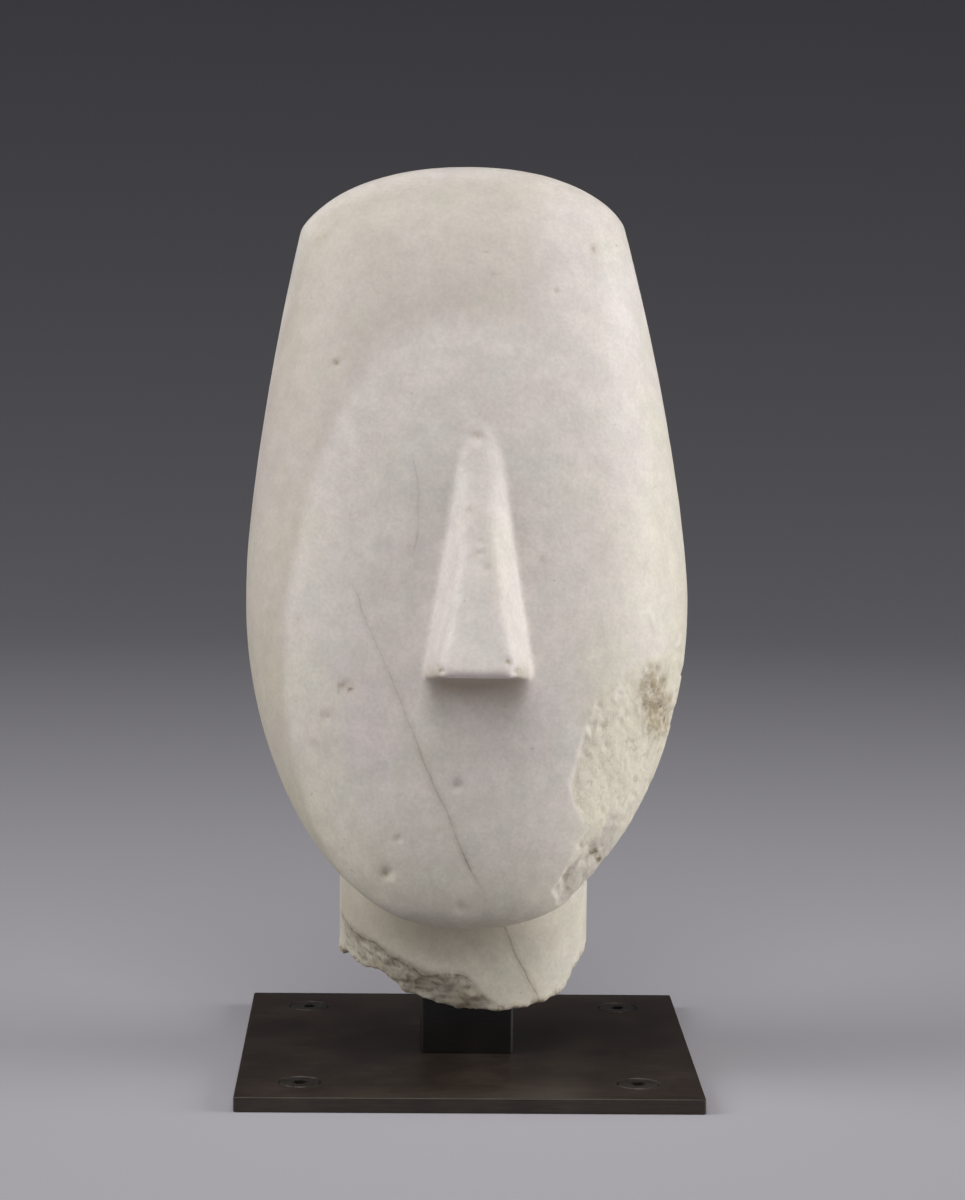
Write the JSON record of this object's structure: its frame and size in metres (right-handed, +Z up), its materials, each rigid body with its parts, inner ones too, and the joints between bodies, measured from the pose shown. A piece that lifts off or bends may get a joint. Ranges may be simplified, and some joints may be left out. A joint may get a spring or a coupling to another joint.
{
  "type": "cycladic figurine head",
  "caption": "Schematic marble head with a long wedge nose and a broken neck, standing on a square post and plate.",
  "frame": {"origin": "centre of the base plate's underside", "axes": "+Z up along the head, -Y the way the face looks, +X the viewer's right"},
  "size_m": [0.136, 0.136, 0.2714],
  "materials": {
    "marble": "worn satin white marble with cream patina",
    "mount_metal": "dark bronze-brown, satin",
    "screw_metal": "dark bronze-brown, satin"
  },
  "bodies": {
    "root": {"marble_head": "marble", "mount_post": "mount_metal", "base_plate": "mount_metal", "screw_front_left": "screw_metal", "screw_front_right": "screw_metal", "screw_back_left": "screw_metal", "screw_back_right": "screw_metal"}
  },
  "joints": []
}
